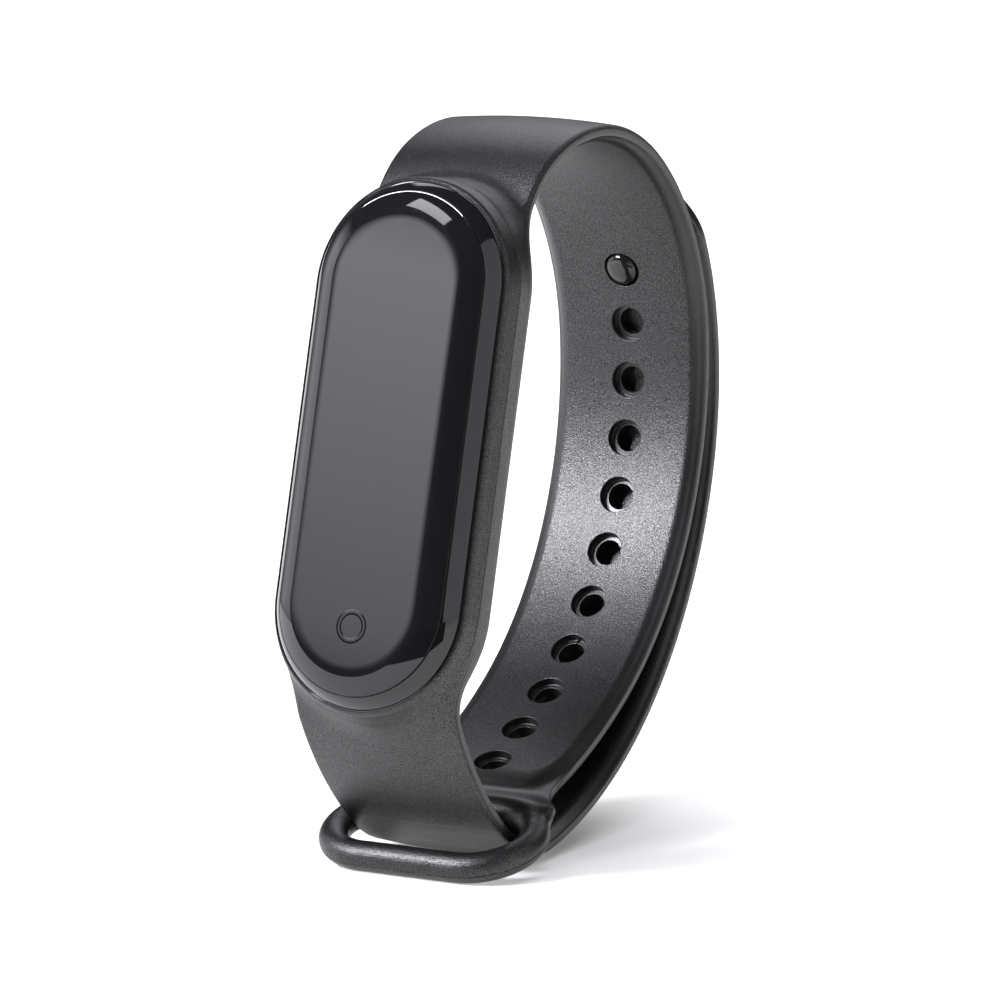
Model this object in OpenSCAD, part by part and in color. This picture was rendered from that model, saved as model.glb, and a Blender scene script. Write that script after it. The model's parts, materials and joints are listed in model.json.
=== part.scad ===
// Fitness tracker band: a pill-shaped tracker capsule seated in a soft strap.
// One strap half carries the holes and the keeper loop. The other half passes through
// the loop, runs up outside the first and snaps in with a stud.
// Millimetres. +Z is up, the display faces -Y and leans back, X runs across the strap.
// The origin is on the floor, under the middle of the bounding box.

/* [Tracker capsule] */
// Width of the glossy bezel, across the strap
bezel_w = 18.6; // [18:0.1:19.2]
// Length of the glossy bezel, along the strap
bezel_l = 46.4; // [44:0.1:50]
// Height of the lens above the bezel plane
lens_rise = 2.3; // [2:0.1:2.6]
// Depth of the capsule behind the bezel plane
capsule_depth = 8.7; // [8.5:0.1:9]
// Angle by which the display leans back from upright
lean = 14.8; // [5:0.1:20]

/* [Strap] */
// Width of the strap
strap_w = 15.6; // [14:0.1:16]
// Thickness of the strap
strap_t = 1.9; // [1.5:0.05:1.9]
// Number of adjustment holes, the one in use included
hole_count = 11; // [6:1:11]
// Distance between two adjustment holes along the strap
hole_pitch = 5.5; // [5:0.1:5.5]
// Diameter of an adjustment hole
hole_d = 2.5; // [2:0.1:2.8]
// Diameter of the recess round a hole, on the wrist side
recess_d = 3.4; // [3:0.1:4]
// Depth of that recess
recess_depth = 0.7; // [0.4:0.1:1]

/* [Keeper loop] */
// Thickness of the loop's bar
loop_bar_d = 2.7; // [2.2:0.1:2.8]
// Distance between the centres of the loop's two long bars
loop_gap = 9.6; // [9:0.1:10.5]
// Length of the straight stretch of each long bar
loop_straight = 9.6; // [8:0.1:10]

/* [Stud] */
// Diameter of the stud's round head
stud_head_d = 3; // [2.6:0.1:3.2]
// Diameter of the stud's neck
stud_neck_d = 1.9; // [1.6:0.1:2]
// Diameter of the stud's outer cap
stud_cap_d = 7; // [5:0.5:9]

/* [Vibration motor] */
// Diameter of the motor's can
motor_d = 8; // [7:0.1:8]
// Height of the motor's can
motor_h = 2.8; // [2.4:0.1:3]

/* [Hidden] */
$fn = 120;

// Clearances: between parts of the capsule, round the capsule in the holder,
// and at a running fit
gap = 0.05;
seat_gap = 0.15;
run_gap = 0.05;
over = 1;

// Capsule outline: a pill of two half discs whose centres are end_y from the middle.
// Capsule parts are drawn lying on their back: z = 0 is the bezel plane, +z is the
// display side and +y is the capsule's upper end.
bezel_r = bezel_w / 2;
end_y = bezel_l / 2 - bezel_r;
body_r = bezel_r - 0.7;
bump_r = bezel_r - 1.7;
wall = 0.8;
lens_r = bezel_r - 1.2;
lens_z = lens_rise - 1.2;
ledge_z = lens_z - 0.25;
ledge_r = lens_r - 1.2;
skirt_z = -2.6;
gasket_t = 0.3;
shoulder_z = -4.3;
case_z = -capsule_depth;
floor_z = case_z + wall;

// Side profiles of the bezel and the lens, as [radius, height]
bezel_profile = [
  [ledge_r, ledge_z], [lens_r + gap, ledge_z], [lens_r + gap, lens_z - 0.1],
  [lens_r + 0.3, lens_z + 0.05], [bezel_r - 0.55, lens_z - 0.1], [bezel_r - 0.2, lens_z - 0.35],
  [bezel_r, lens_z - 0.75], [bezel_r, 0.15], [bezel_r - 0.15, 0], [body_r, 0],
  [body_r, skirt_z], [body_r - wall, skirt_z], [body_r - wall, 0], [ledge_r, 0]
];
lens_edge_z = lens_z + 0.25;
lens_curve = 1.6;
lens_profile = concat(
  [[0, lens_z], [lens_r, lens_z]],
  [
    for (a = [0 : 15 : 90])
      [lens_r - lens_curve + lens_curve * cos(a), lens_edge_z + (lens_rise - lens_edge_z) * sin(a)]
  ],
  [[0, lens_rise]]
);

// Electronics, top to bottom
panel_t = 1.2;
frame_z = -0.95;
frame_t = 0.5;
board_z = -2;
board_t = 0.8;
board_r = bump_r - wall - 0.2;
battery_z = -6.2;
battery_t = 3.2;
battery_w = 12.4;
battery_l = 19;
sensor_z = -7.1;
sensor_t = 0.6;
window_r = 3.5;
motor_y = end_y + 0.8;
motor_z = -6.4;
motor_wall = 0.2;
shaft_r = 0.4;
contact_y = -end_y - 0.6;
contact_r = 1.1;
contact_spacing = 5;

// Holder: a ring round the capsule, with a lip behind its shoulder
holder_r = bezel_r + 0.6;
holder_front = -0.1;
holder_back = -5.4;
lip_z = shoulder_z - 0.2;
lip_r = bump_r + 0.25;

// Strap centre lines in the capsule's side plane, [depth, height]: each run starts
// straight up, and each entry is [length, turn in degrees] of a tangent arc.
// The stud side is drawn as its mirror image below the capsule.
hole_side_start = [4.7, 14.5];
hole_side_root = [[1.5, 0], [6.77, 23.1]];
strap_top_arcs = [[6.02, 29.2], [20.05, 61.05]];
hole_side_arcs = [[19.61, 47.95], [18.2, 29.8], [18, 30.5], [18, 21.4]];
stud_side_start = [3, 14.6];
stud_side_root = [[4.3, 0], [5.7, 42.6]];
stud_side_arcs = [[14, 23.9], [7.8, 49.3], [21.5, 32.5], [22.3, 30.7], [6.8, 10.8]];
tail_arcs = [[11, 19.4], [3, 7.2]];
tail_end = [9.3, 16.5];
first_hole_s = 12.81;
bevel = 0.9;
edge = 0.3;
inner_step = 0.25;
facet_turn = 4;
root_extra = 1.2;
// Middle of the stud's head, below the tail's centre line
head_depth = 2.85;
// Gap between the strap's knuckle and the tail
hinge_gap = 0.15;
// Room under the flat cap, where the strap curves
cap_gap = 0.12;
// Room round the head in the hole it has stretched
head_room = 0.45;

// Fine steps along a run, for measuring it: [depth, height, heading] after each piece
function ahead(p, seg) =
  let (t = seg[1], l = seg[0])
  let (chord = abs(t) < 0.001 ? l : l * sin(t / 2) / (t / 2 * PI / 180))
  [p[0] + chord * cos(p[2] - t / 2), p[1] + chord * sin(p[2] - t / 2), p[2] - t];
function walk(p, segs, i = 0) = i == len(segs) ? p : walk(ahead(p, segs[i]), segs, i + 1);
function first(segs, n) = [for (i = [0 : 1 : n - 1]) segs[i]];
function run_length(segs) = [for (g = segs) 1] * [for (g = segs) g[0]];
// The point that lies s along a run
function along(p, segs, s, i = 0) =
  i == len(segs) || s <= segs[i][0]
    ? ahead(p, i == len(segs) ? [s, 0] : [s, segs[i][1] * s / segs[i][0]])
    : along(ahead(p, segs[i]), segs, s - segs[i][0], i + 1);

strap_top_from = walk(concat(hole_side_start, [90]), hole_side_root);
hole_side_from = walk(strap_top_from, strap_top_arcs);
hole_side_end = walk(hole_side_from, hole_side_arcs);
stud_side_from = walk(concat(stud_side_start, [90]), stud_side_root);
pivot = walk(stud_side_from, stud_side_arcs);
stud_at = walk(pivot, tail_arcs);

// Keeper loop: its rear bar takes the end of the hole side
loop_heading = hole_side_end[2] + 5;
loop_rear = [
  hole_side_end[0] - 0.9 * sin(hole_side_end[2]) + 0.6 * cos(hole_side_end[2]),
  hole_side_end[1] + 0.9 * cos(hole_side_end[2]) + 0.6 * sin(hole_side_end[2])
];
loop_front = loop_rear + loop_gap * [cos(loop_heading), sin(loop_heading)];

// Height and depth of a side-plane point once the display leans back
function up(p) = -p[0] * sin(lean) + p[1] * cos(lean);
function back(p) = p[0] * cos(lean) + p[1] * sin(lean);
function mirrored(p) = [p[0], -p[1]];
steps = 200;
tail_run = concat(stud_side_arcs, tail_arcs, [tail_end]);
tail_points = [for (i = [0 : steps]) mirrored(along(stud_side_from, tail_run, i * run_length(tail_run) / steps))];
tail_low = min([for (p = tail_points) up(p)]) - strap_t / 2;
tail_back = max([for (p = tail_points) back(p)]) + strap_t / 2;
loop_low = up(loop_front) - loop_bar_d / 2;
low = min(tail_low, loop_low);
lens_front = min([
  for (q = concat(bezel_profile, lens_profile)) back([-q[1], -end_y - q[0]])
]);

// Places: what lies in the side plane, what is drawn lying flat, and the whole band
module on_floor() { translate([0, -(lens_front + tail_back) / 2, -low]) rotate([-lean, 0, 0]) children(); }
module capsule_place() { on_floor() rotate([90, 0, 0]) children(); }
module strap_place() { on_floor() rotate(a = 120, v = [1, 1, 1]) children(); }
module stud_side_place() { strap_place() mirror([0, 1, 0]) children(); }
module at_point(p) { translate([p[0], p[1], 0]) rotate(p[2]) children(); }

// Points of a run, each [depth, height, heading], no more than facet_turn apart
function run_points(from, segs) = concat([from], [
  for (i = [0 : len(segs) - 1])
    let (start = walk(from, first(segs, i)), n = ceil((abs(segs[i][1]) + 0.01) / facet_turn))
    for (k = [1 : n]) ahead(start, segs[i] * (k / n))
]);
function beside(p, n) = [p[0] - n * sin(p[2]), p[1] + n * cos(p[2])];

// Ribbon along a run, of one width, between two depths below and above its centre line
module ribbon(points, width, from_n, to_n) {
  outer = [for (p = points) beside(p, to_n)];
  inner = [for (i = [len(points) - 1 : -1 : 0]) beside(points[i], from_n)];
  translate([0, 0, -width / 2]) linear_extrude(width) polygon(concat(outer, inner));
}

// Strap along a run: broad outside, narrower on the wrist side
module strap_run(from, segs, extra = 0) {
  points = run_points(from, segs);
  ribbon(points, strap_w, -inner_step, strap_t / 2 + extra);
  ribbon(points, strap_w - 2 * bevel, -strap_t / 2, strap_t / 2 - edge);
}

// A round along the strap's outward direction, from depth a to depth b
module strap_round(r, a, b) { translate([0, a, 0]) rotate([-90, 0, 0]) cylinder(r = r, h = b - a, $fn = 48); }

// Solid or ring with a pill outline: the profile is swept round two ends and two sides
module pill(points) {
  for (side = [0, 180]) {
    rotate(side) translate([0, end_y, 0]) rotate_extrude(angle = 180) polygon(points);
  }
  rotate([90, 0, 0]) linear_extrude(2 * end_y, center = true) {
    polygon(points);
    mirror([1, 0]) polygon(points);
  }
}
module pill_plate(r, z, h) { pill([[0, z], [r, z], [r, z + h], [0, z + h]]); }
module pill_ring(r_in, r_out, z, h) { pill([[r_in, z], [r_out, z], [r_out, z + h], [r_in, z + h]]); }
module block(size, pos) { translate(pos) translate([-size[0] / 2, -size[1] / 2, 0]) cube(size); }

// Box with round upright corners
module rounded_block(size, r, pos) {
  translate(pos) linear_extrude(size[2]) {
    square([size[0] - 2 * r, size[1]], center = true);
    square([size[0], size[1] - 2 * r], center = true);
    for (x = [-1, 1], y = [-1, 1]) {
      translate([x * (size[0] / 2 - r), y * (size[1] / 2 - r)]) circle(r);
    }
  }
}

// Room for the capsule inside the holder and the strap roots
module capsule_room() {
  pill_plate(body_r + seat_gap, lip_z, 10);
  pill_plate(lip_r, -12, 13);
}

// ---- Strap ----
module band_holder() {
  color("#2b2b2d") difference() {
    union() {
      capsule_place() pill([
        [lip_r, holder_back], [holder_r - 0.8, holder_back], [holder_r, holder_back + 0.8],
        [holder_r, -2], [holder_r - 0.35, -0.4], [holder_r - 0.6, holder_front],
        [lip_r, holder_front]
      ]);
      strap_place() strap_run(concat(hole_side_start, [90]), hole_side_root, root_extra);
      stud_side_place() strap_run(concat(stud_side_start, [90]), stud_side_root, root_extra);
    }
    capsule_place() capsule_room();
  }
}

module strap_top() { color("#2c2c2e") strap_place() strap_run(strap_top_from, strap_top_arcs); }

module strap_hole_side() {
  color("#2d2d2f") strap_place() difference() {
    strap_run(hole_side_from, hole_side_arcs);
    for (i = [1 : hole_count - 1]) {
      at_point(along(hole_side_from, hole_side_arcs, first_hole_s + i * hole_pitch)) {
        strap_round(hole_d / 2, -over - strap_t, over + strap_t);
        strap_round(recess_d / 2, -over - strap_t, recess_depth - strap_t / 2);
      }
    }
    at_point(along(hole_side_from, hole_side_arcs, first_hole_s)) {
      strap_round(stud_head_d / 2 + head_room, -over - strap_t, over + strap_t);
    }
    loop_cut();
  }
}

// The loop's rear bar is let into the strap's end
module loop_cut() {
  translate([loop_rear[0], loop_rear[1], -strap_w]) cylinder(d = loop_bar_d, h = 2 * strap_w, $fn = 64);
}

module keeper_loop() {
  color("#242425") strap_place() at_point(concat(loop_rear, [loop_heading])) {
    rotate([90, 0, 0]) {
      for (x = [0, loop_gap]) {
        translate([x, 0, 0]) rotate([0, 0, 90]) loop_bar();
      }
      for (side = [-1, 1]) {
        translate([loop_gap / 2, side * loop_straight / 2, 0]) rotate(side == 1 ? 0 : 180)
          rotate_extrude(angle = 180) translate([loop_gap / 2, 0]) circle(d = loop_bar_d, $fn = 64);
      }
    }
  }
}
module loop_bar() {
  rotate([0, 90, 0]) cylinder(d = loop_bar_d, h = loop_straight, center = true, $fn = 64);
}

module strap_stud_side() {
  knuckle_r = strap_t / 2 - 0.05;
  color("#2b2b2d") stud_side_place() {
    strap_run(stud_side_from, stud_side_arcs);
    at_point(pivot) translate([0, 0, -strap_w / 2 + bevel / 2])
      cylinder(r = knuckle_r, h = strap_w - bevel, $fn = 48);
  }
}

// The tail starts just past the knuckle and ends in a half round
module strap_tail() {
  start = strap_t / 2 + hinge_gap;
  tip_r = strap_w / 2 + 0.1;
  tip_s = tail_end[0] - tip_r;
  color("#2b2b2d") stud_side_place() difference() {
    strap_run(pivot, concat(tail_arcs, [tail_end]));
    at_point(pivot) translate([start - 6, -5, -strap_w]) cube([6, 10, 2 * strap_w]);
    at_point(stud_at) difference() {
      translate([tip_s, -8, -strap_w]) cube([20, 12, 2 * strap_w]);
      translate([tip_s, 0, 0]) strap_round(tip_r, -9, 5);
    }
    at_point(stud_at) strap_round(stud_neck_d / 2 + 0.02, -strap_t, strap_t);
  }
}

// ---- Stud ----
module stud() {
  color("#101011") stud_side_place() at_point(stud_at) {
    strap_round(stud_neck_d / 2, -head_depth, strap_t / 2 + cap_gap);
    translate([0, -head_depth, 0]) rotate([-90, 0, 0]) rotate_extrude($fn = 64) polygon([
      [0, -0.45], [0.5, -0.42], [1, -0.28], [stud_head_d / 2 - 0.15, -0.05], [stud_head_d / 2, 0.2],
      [stud_head_d / 2 - 0.1, 0.45], [stud_neck_d / 2, 0.5], [0, 0.5]
    ]);
  }
}
module stud_cap() {
  r = stud_cap_d / 2;
  color("#1c1c1e") stud_side_place() at_point(stud_at) translate([0, strap_t / 2 + cap_gap, 0])
    rotate([-90, 0, 0]) rotate_extrude() polygon([
      [0, 0], [r - 0.2, 0], [r, 0.2], [r, 0.45], [r - 0.35, 0.75], [r - 1, 0.85], [0, 0.85]
    ]);
}

// ---- Capsule shell ----
module front_bezel() { color("#0b0b0c") capsule_place() pill(bezel_profile); }
module lens() { color("#161618") capsule_place() pill(lens_profile); }
module lens_adhesive() {
  color("#3a3a3c") capsule_place() pill_ring(ledge_r, lens_r - 0.1, ledge_z, lens_z - ledge_z);
}

module touch_film() {
  color("#6c7078") capsule_place() pill_plate(ledge_r - 0.2, lens_z - 0.22, 0.22);
}

module display_panel() {
  color("#1b1d22") capsule_place() rounded_block([11.6, 26, panel_t], 0.6, [0, 3, lens_z - 0.22 - panel_t]);
}

// Flat cable that folds from the panel's lower edge back to the board
module display_flex() {
  top = lens_z - 0.22 - panel_t;
  bend = (top - board_z - board_t) / 2;
  color("#8a5a1e") capsule_place() {
    block([5, 3, 0.12], [0, -9, top - 0.12]);
    block([5, 3, 0.12], [0, -9, board_z + board_t]);
    translate([-2.5, -10.5, board_z + board_t + bend]) rotate([90, 0, 90]) rotate(90)
      rotate_extrude(angle = 180) translate([bend - 0.12, 0]) square([0.12, 5]);
  }
}

module inner_frame() {
  color("#55585c") capsule_place() difference() {
    pill_plate(body_r - wall - gap, frame_z, frame_t);
    rounded_block([9, 14, 2], 1, [0, 8, frame_z - over]);
    block([6.4, 7, 2], [0, -9.6, frame_z - over]);
  }
}

// ---- Electronics ----
module main_board() {
  color("#1d4a2f") capsule_place() difference() {
    pill_plate(board_r, board_z, board_t);
    translate([0, -end_y - 4.4, board_z - over]) cylinder(r = 1.1, h = 3, $fn = 40);
  }
}

module shield_can() {
  color("#b9bcc0") capsule_place() difference() {
    block([10, 9, 0.9], [0, 3.5, board_z - 0.9]);
    block([9.7, 8.7, 0.9], [0, 3.5, board_z - 0.75]);
  }
}
module processor_chip() { color("#222222") capsule_place() block([5, 5, 0.55], [-1.8, 3.5, board_z - 0.55]); }
module memory_chip() { color("#2a2a2a") capsule_place() block([3, 4, 0.55], [2.9, 3.5, board_z - 0.55]); }
module motion_sensor_chip() { color("#303030") capsule_place() block([2.5, 2.5, 0.7], [-2.5, -5, board_z - 0.7]); }

module antenna() {
  color("#c08a3e") capsule_place() translate([0, end_y, -2.3])
    rotate(20) rotate_extrude(angle = 140) translate([body_r - wall - 0.3, 0]) square([0.15, 1.3]);
}

module battery_cell() {
  color("#9aa0a8") capsule_place() rounded_block([battery_w, battery_l, battery_t], 1, [0, 0.5, battery_z]);
}
module battery_tabs() {
  color("#c9ccd0") capsule_place() for (x = [-3, 3]) {
    block([1.6, 0.15, 1.6], [x, 0.5 + battery_l / 2 + 0.075, board_z - 1.6]);
  }
}

// Flat vibration motor: can, fixed shaft and the half-disc weight that spins on it
module motor_place() { capsule_place() translate([0, motor_y, motor_z]) children(); }
module motor_can() {
  color("#c4c6c9") motor_place() difference() {
    cylinder(d = motor_d, h = motor_h);
    translate([0, 0, motor_wall]) cylinder(d = motor_d - 2 * motor_wall, h = motor_h - 2 * motor_wall);
  }
}
module motor_shaft() {
  color("#d8d8d8") motor_place() translate([0, 0, motor_wall])
    cylinder(r = shaft_r, h = motor_h - 2 * motor_wall, $fn = 48);
}
module motor_weight() {
  h = motor_h - 2 * motor_wall - 0.5;
  r = motor_d / 2 - motor_wall - 0.25;
  color("#8d8f93") motor_place() translate([0, 0, motor_wall + 0.25]) difference() {
    union() {
      rotate_extrude(angle = 180) square([r, h]);
      cylinder(r = 1.1, h = h, $fn = 48);
    }
    translate([0, 0, -over]) cylinder(r = shaft_r + run_gap, h = h + 2 * over, $fn = 48);
  }
}

// ---- Optical sensor ----
module sensor_board() { color("#1d4a2f") capsule_place() rounded_block([9.4, 9.4, sensor_t], 1, [0, 0, sensor_z]); }
module green_leds() {
  color("#7fd36b") capsule_place() for (y = [-2.3, 2.3]) {
    block([1.6, 0.9, 0.5], [0, y, sensor_z - 0.5]);
  }
}
module photodiode() { color("#3b3350") capsule_place() block([2.4, 2.2, 0.5], [0, 0, sensor_z - 0.5]); }
module light_baffle() {
  color("#141414") capsule_place() difference() {
    translate([0, 0, sensor_z - 0.75]) cylinder(r = window_r - 0.1, h = 0.75);
    block([2.8, 2.6, 3], [0, 0, sensor_z - 2]);
    for (y = [-2.3, 2.3]) {
      block([2, 1.3, 3], [0, y, sensor_z - 2]);
    }
  }
}
module sensor_window() {
  color("#20232a") capsule_place() translate([0, 0, case_z - 0.15]) rotate_extrude() polygon([
    [0, 0], [window_r - 0.5, 0], [window_r - gap, 0.2], [window_r - gap, wall + 0.15], [0, wall + 0.15]
  ]);
}

// ---- Rear of the capsule ----
module case_gasket() {
  color("#4a4a4d") capsule_place() pill_ring(body_r - wall, body_r - 0.1, skirt_z - gasket_t, gasket_t);
}
module rear_case() {
  top = skirt_z - gasket_t;
  color("#222224") capsule_place() difference() {
    pill([
      [0, case_z], [bump_r - 1.6, case_z], [bump_r - 0.7, case_z + 0.25], [bump_r - 0.2, case_z + 0.7],
      [bump_r, case_z + 1.3], [bump_r, shoulder_z - 0.1], [body_r - 0.3, shoulder_z],
      [body_r, shoulder_z + 0.3], [body_r, top], [body_r - wall, top], [body_r - wall, shoulder_z + wall],
      [bump_r - wall, shoulder_z + wall], [bump_r - wall, floor_z], [0, floor_z]
    ]);
    translate([0, 0, case_z - over]) cylinder(r = window_r, h = wall + 2 * over);
    for (x = [-1, 1]) {
      translate([x * contact_spacing / 2, contact_y, case_z - over])
        cylinder(r = contact_r, h = wall + 2 * over, $fn = 48);
    }
  }
}
module charging_contacts() {
  color("#c9a64a") capsule_place() for (x = [-1, 1]) {
    translate([x * contact_spacing / 2, contact_y, case_z - 0.05]) {
      cylinder(r = contact_r - 0.03, h = wall + 0.05, $fn = 48);
      translate([0, 0, wall + 0.05]) cylinder(r = 0.6, h = 0.9, $fn = 48);
    }
  }
}
module charging_board() {
  color("#1d4a2f") capsule_place() rounded_block([8.6, 5, 0.5], 0.8, [0, contact_y, floor_z + 0.9]);
}

band_holder();
strap_top();
strap_hole_side();
keeper_loop();
strap_stud_side();
strap_tail();
stud();
stud_cap();
front_bezel();
lens();
lens_adhesive();
touch_film();
display_panel();
display_flex();
inner_frame();
main_board();
shield_can();
processor_chip();
memory_chip();
motion_sensor_chip();
antenna();
battery_cell();
battery_tabs();
motor_can();
motor_shaft();
motor_weight();
sensor_board();
green_leds();
photodiode();
light_baffle();
sensor_window();
case_gasket();
rear_case();
charging_contacts();
charging_board();
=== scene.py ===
"""Looks of the fitness tracker band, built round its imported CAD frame."""

import json
import math

import bpy
import numpy as np
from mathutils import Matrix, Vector


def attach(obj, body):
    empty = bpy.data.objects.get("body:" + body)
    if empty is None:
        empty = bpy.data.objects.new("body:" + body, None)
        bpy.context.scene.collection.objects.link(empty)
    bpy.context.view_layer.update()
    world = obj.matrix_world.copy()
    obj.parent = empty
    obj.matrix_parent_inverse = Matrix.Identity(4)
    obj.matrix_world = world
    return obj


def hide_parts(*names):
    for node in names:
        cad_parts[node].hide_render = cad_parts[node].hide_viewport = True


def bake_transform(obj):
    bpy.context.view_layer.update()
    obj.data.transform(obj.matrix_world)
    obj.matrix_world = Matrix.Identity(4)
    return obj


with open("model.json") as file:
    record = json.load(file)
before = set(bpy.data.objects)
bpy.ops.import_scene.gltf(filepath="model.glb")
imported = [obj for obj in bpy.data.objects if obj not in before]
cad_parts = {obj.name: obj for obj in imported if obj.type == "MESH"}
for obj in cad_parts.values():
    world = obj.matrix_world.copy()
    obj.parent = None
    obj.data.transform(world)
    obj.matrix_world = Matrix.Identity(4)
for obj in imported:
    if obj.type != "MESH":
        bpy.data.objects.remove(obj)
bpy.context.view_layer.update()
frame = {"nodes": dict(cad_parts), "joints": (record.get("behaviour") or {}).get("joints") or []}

# ---------------------------------------------------------------- frame and sizes
# Millimetres in the capsule's side plane: x across the strap, d behind the bezel plane
# and h along the display. place() takes such points to the row frame, in metres.
MM = 0.001
JOINTS = {j["name"]: j for j in frame["joints"]}
SLIDE = JOINTS["capsule_slide"]["axis"]
LEAN = math.atan2(SLIDE[2], -SLIDE[1])

END_H = 13.9  # centres of the pill outline's half discs
BEZEL_R = 9.3
LENS_R = 8.1
CROWN_R, LENS_FLAT_R = 5.4, 6.45  # where the flat middle ends, and where the slight crown ends
LENS_TOP = 2.3
LENS_FOOT = 1.1
GAP = 0.03  # between the lens and the bezel
LENS_LIP, BEZEL_LIP = 0.035, 0.03  # radii of the two edges at that gap
SKIRT_OUT, SKIRT_IN, SKIRT_BACK = 8.6, 7.8, -2.6  # the bezel's skirt, which goes into the holder
SHARP = math.radians(17)  # lathed and swept pieces have sharp edges where they bend more

HOLDER_R = 9.9
HOLDER_FRONT, HOLDER_BACK = 0.1, 5.4
HOLDER_FRONT_EDGE, HOLDER_BACK_EDGE = 0.5, 1.7
FRONT_TAPER, BACK_TAPER = 0.16, 0.04  # how the holder narrows away from its parting line
ROOM_R, ROOM_BACK, LIP_R = 8.75, 4.5, 7.85  # the capsule's room and the opening behind it
ROOM_THROUGH = 9.0  # a depth behind the holder's back
ROOM_EDGE = 0.15

THICK = 1.9
CROWN = 0.006  # the outside falls away from its middle line as this times x squared
STEP = 0.25  # the strap's body starts this far below its middle, the pad lies under it
BEVEL = (0.614, 0.789)  # unit normal of the pad's bevel, sideways and toward the wrist
OUTER_EDGE, PAD_EDGE, FINE_EDGE = 0.34, 0.3, 0.08  # edge radii of a strap's section
PAD_FILLET = 0.3
PAD_CORNER = 3.2  # radius of the pad's corners, seen from the wrist
END_BEVEL = 0.45  # the bevel at the pad's end is gentler by this
PART_N = 0.4  # the mould's parting line on the straps,
PART_D = 2.0  # on the holder
PART_M = 0.25  # and on the keeper loop
PART_DEPTH, PART_WIDTH = 0.06, 0.055
GRAIN_OUTSIDE, GRAIN_OUTSIDE_DEPTH = 0.75, 0.1  # the grain comes in from here, over this depth
GRAIN_WRIST, GRAIN_WRIST_DEPTH = 0.85, 0.08
NEAR = 0.12  # a point this close to a shape counts as on it

# Each strap's run: where it leaves the holder, and the length and turn (degrees) of its arcs.
# The stud side goes down, so its points and its run have h the other way round.
HOLE_START, HOLE_SEGS = (4.7, 14.5), [
    (1.5, 0), (6.77, 23.1), (6.02, 29.2), (20.05, 61.05), (19.61, 47.95), (18.2, 29.8), (18, 30.5),
    (18, 21.4),
]
STUD_START, STUD_SEGS = (3.0, 14.6), [
    (4.3, 0), (5.7, 42.6), (14, 23.9), (7.8, 49.3), (21.5, 32.5), (22.3, 30.7), (6.8, 10.8),
    (11, 19.4), (3, 7.2), (9.3, 16.5),
]
HOLE_HALF, HOLE_WIDENING = 7.5, 0.01  # half width of the hole side at h = 0, and its gain with h
FLARE, FLARE_RUN, FLARE_POWER = 2.1, 5.0, 2.2  # it widens at its end to meet the keeper loop
STUD_HALF, STUD_TAPER = 8.1, 0.0065  # half width of the stud side at s = 0, and its loss with s
FIRST_HOLE, HOLE_PITCH, HOLE_COUNT = 47.15, 5.5, 11
HOLE_R, RECESS_R, USED_HOLE_R = 1.22, 1.68, 1.72
HOLE_EDGE, RECESS_EDGE, RECESS_LIFT = 0.09, 0.07, 0.1
USED_STEP = 0.1  # what is left of the recess round the hole in use
END_PAST, END_EDGE = 0.7, 0.5  # the hole side ends this far past its run, with this edge
PAD_SHORT = 2.0  # and its pad this far before the run's end
PIVOT_S, STUD_S = 82.4, 96.4
HEAD_R, HEAD_DEPTH, NECK_R = 1.52, 2.85, 0.95  # the snap stud

STRAIGHT = 15.0  # each run goes on straight for this long past its ends
FAR = 99.0  # farther out than any point that matters
NO_PAD_END = 999.0
TINY = 1e-6


class Track:
    """A run of tangent arcs that starts straight up and turns right."""

    def __init__(self, start, segments):
        self.arcs = []
        d, h, head, s = start[0], start[1], math.pi / 2, 0.0
        for length, turn in segments:
            turn = math.radians(turn)
            self.arcs.append((d, h, head, s, 0.0, length, turn))
            half = turn / 2
            chord = length * (math.sin(half) / half if half > TINY else 1.0)
            d += chord * math.cos(head - half)
            h += chord * math.sin(head - half)
            head -= turn
            s += length
        self.length = s
        first = self.arcs[0]
        self.arcs.append((first[0], first[1], first[2], 0.0, -STRAIGHT, 0.0, 0.0))
        self.arcs.append((d, h, head, s, 0.0, STRAIGHT, 0.0))

    def locate(self, d, h):
        """How far along the run points lie, and how far out from it on its left."""
        shape = np.broadcast(d, h).shape
        along, out = np.zeros(shape), np.full(shape, FAR)
        for d0, h0, head, s0, low, high, turn in self.arcs:
            c, s = math.cos(head), math.sin(head)
            u = (d - d0) * c + (h - h0) * s
            v = (h - h0) * c - (d - d0) * s
            if turn > TINY:
                radius = high / turn
                u, v = np.arctan2(u, v + radius) * radius, np.hypot(u, v + radius) - radius
            hit = (u >= low - TINY) & (u <= high + TINY) & (np.abs(v) < np.abs(out))
            along = np.where(hit, s0 + u, along)
            out = np.where(hit, v, out)
        return along, out

    def at(self, s):
        """The point (d, h) and the heading, s along the run."""
        for d0, h0, head, s0, low, high, turn in self.arcs:
            if low <= s - s0 <= high:
                u = s - s0
                half = turn * u / high / 2 if turn else 0.0
                chord = u * (math.sin(half) / half if half > TINY else 1.0)
                return (
                    d0 + chord * math.cos(head - half),
                    h0 + chord * math.sin(head - half),
                    head - 2 * half,
                )


HOLE_SIDE = Track(HOLE_START, HOLE_SEGS)
STUD_SIDE = Track(STUD_START, STUD_SEGS)

# The tail's pivot is known in both frames, so it gives the offset between them
_pivot = STUD_SIDE.at(PIVOT_S)
_pin = JOINTS["tail_lift"]["pos_m"]
COS, SIN = math.cos(LEAN), math.sin(LEAN)
OFF_Y = _pin[1] / MM - (_pivot[0] * COS - _pivot[1] * SIN)
OFF_Z = _pin[2] / MM - (-_pivot[0] * SIN - _pivot[1] * COS)


def place(p):
    """Points (x, d, h) in millimetres, taken to the row frame in metres."""
    p = np.asarray(p, float).reshape(-1, 3)
    y = p[:, 1] * COS + p[:, 2] * SIN + OFF_Y
    z = -p[:, 1] * SIN + p[:, 2] * COS + OFF_Z
    return np.stack([p[:, 0], y, z], 1) * MM


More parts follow.
